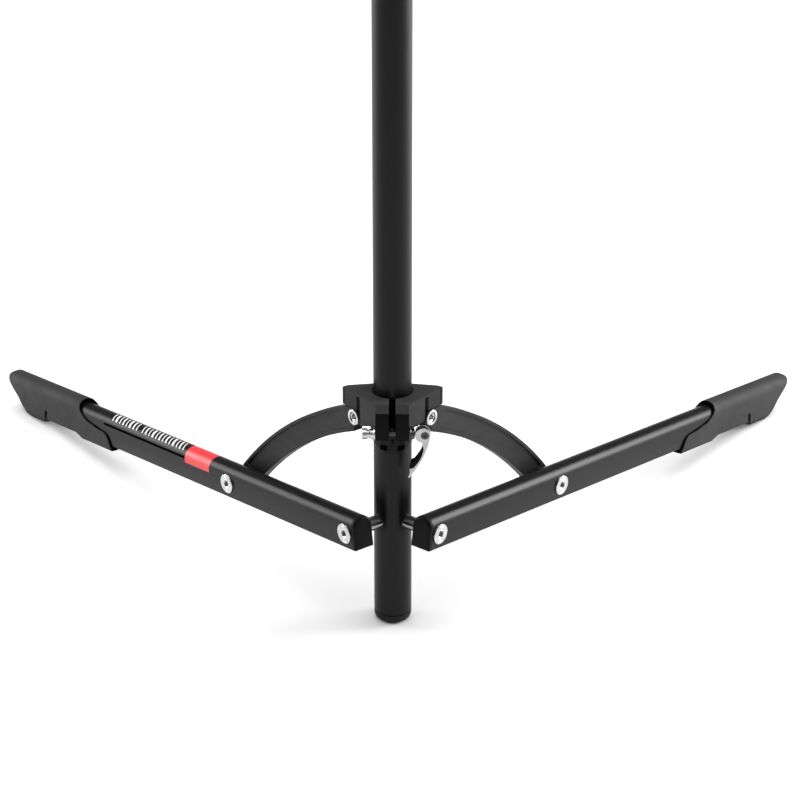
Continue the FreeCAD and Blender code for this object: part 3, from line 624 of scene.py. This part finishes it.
# The boot's outlines in a leg's own frame. Mouth and nose: (up, along) from the sole to the crown.
MOUTH = ((-22.7, 472), (-18, 474.4), (-13.4, 477.2), (-9, 479.2), (-4.9, 481.8), (-3, 484.2),
         (-1.8, 487.5), (-1.0, 492), (-0.4, 499), (0.1, 505.5), (0.8, 512), (1.7, 516.6), (2.8, 520.8),
         (4.5, 525.2), (6.6, 529.4), (9, 533.2), (11.4, 536.2), (14, 538.8), (17, 541.2), (20, 542.8),
         (23, 543.4), (25.5, 543.2))
NOSE = ((-22.7, 671), (-21.5, 673.5), (-20.3, 677.5), (-18.4, 683.5), (-14.5, 689.5), (-9, 694.8),
        (-3.1, 699.6), (6.3, 710.1), (12.5, 716), (16.5, 718.6), (20, 719.8), (22.5, 718.6), (24.4, 715),
        (25.5, 710))
# the sole: (along, up)
SOLE = ((460, -22.7), (542.5, -22.7), (555.5, -17.7), (625.9, -17.7), (626.1, -20.3), (730, -20.3))
BOOT_HALF, BOOT_TOP, BOOT_LOW = 13.8, 25.5, -20.0
SLOT_UP, SLOT_LEAN, SLOT_WIDTH, SLOT_DEPTH, SLOT_AT = -5.5, 4.5, 6.5, 6.0, 626.0
LEAN_FROM, LEAN_TO = 600, 650
NOSE_ROUND = 6.0
# how far the black band of painted shade at the mouth's inner lip stands out of it: (up, reach)
MOUTH_SHADE_REACH = ((-22.7, 4.4), (-14, 4.0), (-6, 3.4), (-2.5, 1.8), (-0.5, 0.9), (6, 0.3), (14, -0.6), (25.5, -1.0))


def along(table, x):
    """Straight-line look-up in a table of pairs."""
    for (x0, y0), (x1, y1) in zip(table, table[1:]):
        if x <= x1:
            t = max((x - x0) / (x1 - x0), 0)
            return y0 + (y1 - y0) * t
    return table[-1][1]


def boot_section(grow):
    """Outer half, then inner half, of the boot's section for a level sole: points (out, up)."""
    half, top, low, corner = BOOT_HALF + grow, BOOT_TOP + grow, BOOT_LOW - grow, 1.6
    spring = top - half
    points = corner_arc(half - corner, low + corner, corner, -90)
    flat = (-16, -13.4, -11, -9, SLOT_UP - 0.1, SLOT_UP + 0.1, -4.9, -3.8, -3, -2.4, -1.8, -1.4, -1.0,
            -0.7, -0.4, -0.1, 0.1, 0.45, 0.8, 1.2, 1.7, 2.2, 2.8, 3.6, 4.5, 5.5, 6.6, 7.8, 9, 10.2)
    points += [(half, v) for v in flat]
    for i in range(17):
        a = math.radians(90 * i / 16)
        points.append((half * math.cos(a), spring + half * math.sin(a)))
    return points + [(-n, v) for n, v in reversed(points[:-1])]


def boot_point(side, n, v, x, slot=0):
    """Moves a section point to station x: the sole's depth changes along the boot, the slots lean."""
    deep = v
    if v < SLOT_UP:
        deep = SLOT_UP + (v - SLOT_UP) * (along(SOLE, x) - SLOT_UP) / (BOOT_LOW - SLOT_UP)
    if LEAN_FROM < x < LEAN_TO:
        reach = (v - BOOT_LOW) / (SLOT_UP - BOOT_LOW)
        x -= SLOT_LEAN * min(max(reach, 0), 1) * max(1 - max(v - SLOT_UP, 0) / 12, 0)
    if slot and v < SLOT_UP:
        n -= math.copysign(min(slot, abs(n)), n)
    return side.at(x, LEG_MIDDLE + n, deep)


def nose_at(n, v):
    """Where the nose ends, rounded in plan."""
    return along(NOSE, v) - NOSE_ROUND * (n / BOOT_HALF) ** 2


def nearest(points, n, v):
    """The point of a section that lies nearest to (n, v)."""
    return min(points, key=lambda p: (p[0] - n) ** 2 + (p[1] - v) ** 2)


def mouth_rings(side, full):
    """From the gap round the leg, out over the rounded edge of the slanted, scooped mouth."""
    deep = 9.0
    wall = boot_section(-1.0)
    inner = oblong(12.15, -16.85, 20.15, 1.1)
    hollow = [nearest(inner, n * 0.89, v * 0.8) for n, v in full]
    rings = [[side.at(along(MOUTH, v) + deep, LEG_MIDDLE + n, v) for n, v in hollow]]
    for reach in (deep, 0.35):
        rings.append([boot_point(side, n, v, along(MOUTH, v) + reach) for n, v in wall])
    for shrink, reach in ((-0.75, 0.05), (-0.4, 0.0), (-0.12, 0.12), (0.0, 0.5)):
        rings.append([boot_point(side, n, v, along(MOUTH, v) + reach) for n, v in boot_section(shrink)])
    return rings


def side_rings(side, full):
    """From the mouth to the sole's step, then past the two side slots."""
    step = 544.5
    rings = []
    for t in (0.1, 0.25, 0.4, 0.6, 0.8, 0.9737, 1.0):
        ring = []
        for n, v in full:
            first = along(MOUTH, v) + 0.5
            ring.append(boot_point(side, n, v, first + (step - first) * t))
        rings.append(ring)
    slot_end = SLOT_AT + SLOT_WIDTH
    for x, slot in ((555.5, 0), (575, 0), (LEAN_FROM - 2, 0), (LEAN_FROM + 1, 0), (SLOT_AT - 0.2, 0),
                    (SLOT_AT + 0.1, 0), (SLOT_AT + 0.15, SLOT_DEPTH), (slot_end - 0.1, SLOT_DEPTH),
                    (slot_end, 0), (LEAN_TO - 1, 0), (LEAN_TO + 2, 0), (668, 0)):
        rings.append([boot_point(side, n, v, x, slot) for n, v in full])
    return rings


def nose_rings(side):
    """Rounded edge of the nose."""
    rings = []
    for shrink, back in ((0.0, 2.4), (-0.15, 1.3), (-0.5, 0.5), (-1.0, 0.1)):
        section = boot_section(shrink)
        rings.append([boot_point(side, n, v, nose_at(n, v) - back) for n, v in section])
    return rings


def close_nose(bm, side):
    """Faces across the nose, in rows from the sole up to the crown."""
    last = boot_section(-1.0)
    rows = []
    for n, v in last[:len(last) // 2]:
        rows.append([bm.verts.new(boot_point(side, n * (1 - k / 4), v, nose_at(n * (1 - k / 4), v) - 0.1))
                     for k in range(9)])
    crown = last[len(last) // 2]
    tip = bm.verts.new(boot_point(side, crown[0], crown[1], nose_at(*crown) - 0.1))
    for low, high in zip(rows, rows[1:]):
        for k in range(8):
            bm.faces.new((low[k], low[k + 1], high[k + 1], high[k]))
    for k in range(8):
        bm.faces.new((rows[-1][k], rows[-1][k + 1], tip))


def make_boot(side):
    """Boot: slanted mouth with a gap round the leg, stepped sole, side slots, rounded nose."""
    bm = bmesh.new()
    full = boot_section(0)
    skin(bm, mouth_rings(side, full) + side_rings(side, full) + nose_rings(side), caps=False)
    close_nose(bm, side)
    bmesh.ops.remove_doubles(bm, verts=bm.verts, dist=0.01)
    bmesh.ops.dissolve_degenerate(bm, dist=0.005, edges=bm.edges)
    piece("leg_boot_shape_" + side.name, bm, MATERIALS["boot_grey"], "leg_" + side.name,
          ["leg_boot_" + side.name], side.leg, sharp=36)


def make_foot_pad(side):
    """Rubber tread: a thin plate with three rows of blocks that end on the floor."""
    bm = bmesh.new()
    top, low = -20.3, -23.0
    start, end = 636.0, 680.0
    count = 7
    pitch = (end - start) / count
    bar(bm, side.at((start + end) / 2 - 2.2, LEG_MIDDLE, top - 0.1), (end - start - 6, 23.4, 1.0))
    for i in range(count):
        x0, x1 = start + pitch * i + 0.5, start + pitch * (i + 1) - 0.5
        for across in (-8.1, 0, 8.1):
            ends = []
            for x in (x0, x1):
                floor = (x * math.sin(SLOPE) - PIVOT.z) / math.cos(SLOPE) + 0.05
                foot = min(max(low, floor) + (0.6 if x > 674 else 0), top - 0.7)
                ends.append([side.at(x, LEG_MIDDLE + across + w, v)
                             for w, v in ((-3.5, top), (3.5, top), (3.1, foot), (-3.1, foot))])
            skin(bm, ends)
    piece("foot_pad_shape_" + side.name, bm, MATERIALS["tread_rubber"], "leg_" + side.name,
          ["foot_pad_" + side.name], side.leg)


def make_boot_ribs(side):
    """Thin curved rib over each slot."""
    bm = bmesh.new()
    centre, radius, rib = (627.0, -15.5), 11.5, 0.35
    for face in (LEG_MIDDLE + BOOT_HALF, LEG_MIDDLE - BOOT_HALF):
        rings = []
        for i in range(13):
            angle = math.radians(-18 + 88 * i / 12)
            x = centre[0] + radius * math.cos(angle)
            z = centre[1] + radius * math.sin(angle)
            ring = []
            for j in range(8):
                turn = 2 * math.pi * j / 8
                reach = rib * math.cos(turn)
                ring.append(side.at(x + reach * math.cos(angle), face + rib * 0.6 * math.sin(turn),
                                    z + reach * math.sin(angle)))
            rings.append(ring)
        skin(bm, rings)
    piece("boot_rib_" + side.name, bm, MATERIALS["boot_grey"], "leg_" + side.name, (), side.leg)


def make_boot_mouth_shade(side):
    """Black band of painted shade at the inner lip of the boot's mouth, widening towards the heel."""
    bm = bmesh.new()
    outer = boot_section(-1.02)
    inner = oblong(12.1, -16.8, 20.1, 1.1)
    hollow = [nearest(inner, n * 0.93, v * 0.84) for n, v in outer]
    rings = []
    for section, reach, back in ((hollow, 0, 8.5), (hollow, 1, 0), (boot_section(-1.4), 1, 0),
                                 (outer, 1, 0.4), (outer, 0, 8.5), (hollow, 0, 8.5)):
        ring = []
        for n, v in section:
            x = along(MOUTH, v) + back - reach * along(MOUTH_SHADE_REACH, v)
            ring.append(side.at(x, LEG_MIDDLE + n, v) if section is hollow else boot_point(side, n, v, x))
        rings.append(ring)
    skin(bm, rings, caps=False)
    piece("boot_mouth_shade_" + side.name, bm, BLACK_PRINT_AND_SHADE, "leg_" + side.name, (), side.leg)


# ---------------------------------------------------------------- struts and collar


def make_strut(side):
    refined("strut_" + side.name, "strut_black", "strut_" + side.name, 0.7, 3, side.strut, sharp=36)


def make_collar():
    refined("collar_body", "housing_black", "collar", 0.45, 2)
    refined("clamp_band", "band_black", "collar", 0.4, 2)
    refined("collar_liner", "liner_black", "collar", 0.25, 1)


def curved_strip(bm, middle, spread, steps, radii, heights):
    """Thin strip bent round the column's axis, about a middle angle, both angles in degrees."""
    inner, outer = radii
    low, high = heights
    rings = []
    for i in range(steps + 1):
        angle = math.radians(middle - spread / 2 + spread * i / steps)
        rings.append([Vector((r * math.cos(angle), r * math.sin(angle), z))
                      for r, z in ((inner, low), (outer, low), (outer, high), (inner, high))])
    skin(bm, rings)


def make_liner_shade():
    """Black strips of painted shade behind the liner's two windows and behind its slit."""
    front = -90
    bm = bmesh.new()
    curved_strip(bm, front - 25, 27, 8, (20.1, 20.45), (209.5, 216.8))
    curved_strip(bm, front + 25, 27, 8, (20.1, 20.45), (209.5, 216.8))
    curved_strip(bm, front, 17.6, 6, (21.68, 21.76), (238, 270.2))
    piece("liner_window_shade", bm, BLACK_PRINT_AND_SHADE, "collar")


# ---------------------------------------------------------------- quick release

SKEWER = Vector((0, SKEWER_Y, SKEWER_Z))
# middle line of the lever's black insert, from the barrel's axis
INSERT_MIDDLE = ((-16, -35.8), (-13.0, -33.6), (-9.0, -28.6), (-6.2, -24.9), (-3.6, -19.5), (-1.6, -14.0),
                 (0, -12))
INSERT_TOP = -12.2
INSERT_SHIFT = Vector((1.3, 0, -0.9))


def make_skewer_rod():
    """Rod with a thread at the nut's end."""
    bm = bmesh.new()
    threads = [(-31.2, 1.9)]
    for i in range(16):
        threads += [(-31.0 + 0.5 * i, 2.45), (-30.75 + 0.5 * i, 2.15)]
    threads += [(-22.6, 2.5), (29.6, 2.5)]
    turned(bm, SKEWER, ACROSS, threads, 32)
    piece("skewer_rod_shape", bm, MATERIALS["dark_steel"], "collar", ["skewer_rod"],
          sharp=26)


def make_skewer_nut():
    """Round nut with a knurled barrel and a neck."""
    bm = bmesh.new()
    start, grips = -31.6, 22
    turned(bm, SKEWER + ACROSS * start, ACROSS,
           [(0, 2.6), (0, 4.4), (0.5, 5.2), (0.9, 5.5), (5.6, 5.5), (5.9, 5.2), (6.0, 4.3), (7.2, 4.3),
            (7.4, 5.0), (8.3, 5.4), (8.3, 2.6), (0, 2.6)], 48, caps=False)
    for i in range(grips):
        angle = 2 * math.pi * i / grips
        turn = Matrix.Rotation(angle, 4, "X")
        spot = turn @ Vector((0, 5.5, 0))
        bar(bm, SKEWER + ACROSS * (start + 3.2) + spot, (4.4, 0.5, 0.7), turn)
    piece("skewer_nut_shape", bm, MATERIALS["bright_steel"], "skewer_nut", ["skewer_nut"],
          sharp=26)


def make_cup_washers():
    """Turned cups between the clamp's ears and the lever or the nut."""
    for name, node, start, way in (("cup_washer_lever", "washer_lever_side", 17.3, 1),
                                   ("cup_washer_nut", "washer_nut_side", -17.3, -1)):
        bm = bmesh.new()
        profile = [(0, 2.7), (0, 6.4), (0.4, 6.9), (1.1, 6.9), (1.6, 6.3), (2.4, 5.5), (3.6, 5.2),
                   (5.3, 5.4), (5.8, 5.1), (5.8, 2.7), (0, 2.7)]
        turned(bm, SKEWER + ACROSS * start, ACROSS * way, profile, 64, caps=False)
        slot = "dark_steel" if way > 0 else "bright_steel"
        piece(name, bm, MATERIALS[slot], "collar", [node], sharp=30)


def make_lever():
    """Cam barrel, silver arm and its black insert, which is thinned on its inner side."""
    refined("cam_barrel", "dark_steel", "collar", 0.3, 2)
    refined("lever_arm", "bright_steel", "lever", 0.7, 3, sharp=34, material=LEVER_STEEL)
    bm = from_node("lever_insert")
    pivot = Vector((BARREL_X, 0, SKEWER_Z))
    for vert in bm.verts:
        x, _, z = vert.co - pivot
        if z > along(INSERT_MIDDLE, x):
            ease = min(max((INSERT_TOP - z) / 4, 0), 1)
            vert.co += INSERT_SHIFT * ease
    piece("lever_insert_shape", bm, MATERIALS["insert_black"], "lever", ["lever_insert"],
          sharp=34, bevel=0.3)


# ---------------------------------------------------------------- remaining CAD nodes


def dress_cad_nodes():
    slot_of = {row["node"]: row["material_slot"] for row in frame["record"]["subparts"]}
    for name, cad in NODES.items():
        cad.data.materials.clear()
        cad.data.materials.append(MATERIALS[slot_of[name]])


# ---------------------------------------------------------------- floor, light and camera

CAMERA_ELEVATION = math.radians(26.0)
CAMERA_AZIMUTH = math.radians(0.54)
CAMERA_DISTANCE = 2.728
CAMERA_TARGET = Vector((0.0077, 0.0, 0.2587))
LENS_MM = 118.6
WORLD_STRENGTH = 0.25
SUN_STRENGTH, SUN_SPREAD, SUN_TILT = 2.5, math.radians(75), math.radians(-6)
PANEL_AWAY, PANEL_BACK, PANEL_UP = 2.75, 1.0, 0.95
PANEL_TARGET = Vector((0, 0.1, 0.2))
PANEL_WIDTH, PANEL_HEIGHT = 1.5, 1.7
RIGHT_WATTS, LEFT_WATTS = 108, 56


def make_floor():
    s = Shader("pale_floor")
    s.set(s.surface, "Base Color", grey(0.9))
    s.set(s.surface, "Roughness", 0.8)
    s.set(s.surface, "Specular IOR Level", 0.1)
    mesh = bpy.data.meshes.new("floor")
    half = 8.0
    mesh.from_pydata([(-half, -half, 0), (half, -half, 0), (half, half, 0), (-half, half, 0)], [],
                     [(0, 1, 2, 3)])
    floor = bpy.data.objects.new("floor", mesh)
    bpy.context.scene.collection.objects.link(floor)
    mesh.materials.append(s.material)


def panel_light(name, away, watts):
    """Tall soft panel at one side, a little behind the stand, turned towards it."""
    data = bpy.data.lights.new(name, "AREA")
    data.shape = "RECTANGLE"
    data.size = PANEL_WIDTH
    data.size_y = PANEL_HEIGHT
    data.energy = watts
    lamp = bpy.data.objects.new(name, data)
    lamp.location = Vector((away, PANEL_BACK, PANEL_UP))
    aim = PANEL_TARGET - lamp.location
    lamp.rotation_euler = aim.to_track_quat("-Z", "Y").to_euler()
    bpy.context.scene.collection.objects.link(lamp)


def make_light():
    """White world, a broad sun from above and two side panels."""
    world = bpy.data.worlds.new("studio")
    bpy.context.scene.world = world
    world.use_nodes = True
    background = world.node_tree.nodes["Background"]
    background.inputs["Color"].default_value = (1, 1, 1, 1)
    background.inputs["Strength"].default_value = WORLD_STRENGTH
    sun = bpy.data.lights.new("overhead", "SUN")
    sun.energy = SUN_STRENGTH
    sun.angle = SUN_SPREAD
    lamp = bpy.data.objects.new("overhead", sun)
    lamp.rotation_euler = (SUN_TILT, 0, 0)
    bpy.context.scene.collection.objects.link(lamp)
    panel_light("right_panel", PANEL_AWAY, RIGHT_WATTS)
    panel_light("left_panel", -PANEL_AWAY, LEFT_WATTS)


def make_camera():
    forward = Vector((-math.cos(CAMERA_ELEVATION) * math.sin(CAMERA_AZIMUTH),
                      math.cos(CAMERA_ELEVATION) * math.cos(CAMERA_AZIMUTH),
                      -math.sin(CAMERA_ELEVATION)))
    data = bpy.data.cameras.new("camera")
    data.lens = LENS_MM
    data.sensor_width = 36
    data.clip_end = 50
    camera = bpy.data.objects.new("camera", data)
    camera.location = CAMERA_TARGET - forward * CAMERA_DISTANCE
    camera.rotation_euler = forward.to_track_quat("-Z", "Y").to_euler()
    bpy.context.scene.collection.objects.link(camera)
    bpy.context.scene.camera = camera


dress_cad_nodes()
make_column()
make_column_foot()
make_mast_guide()
for each in SIDES:
    make_bolts(each)
    make_strut_washer(each)
    make_axle_spacer(each)
    make_strut_end_nut(each)
    make_leg(each)
    make_leg_end_cap(each)
    make_boot(each)
    make_foot_pad(each)
    make_boot_ribs(each)
    make_boot_mouth_shade(each)
    make_strut(each)
make_marks(SIDES[1])
make_collar()
make_liner_shade()
make_skewer_rod()
make_skewer_nut()
make_cup_washers()
make_lever()
make_floor()
make_light()
make_camera()
bpy.context.scene.view_settings.view_transform = "Standard"
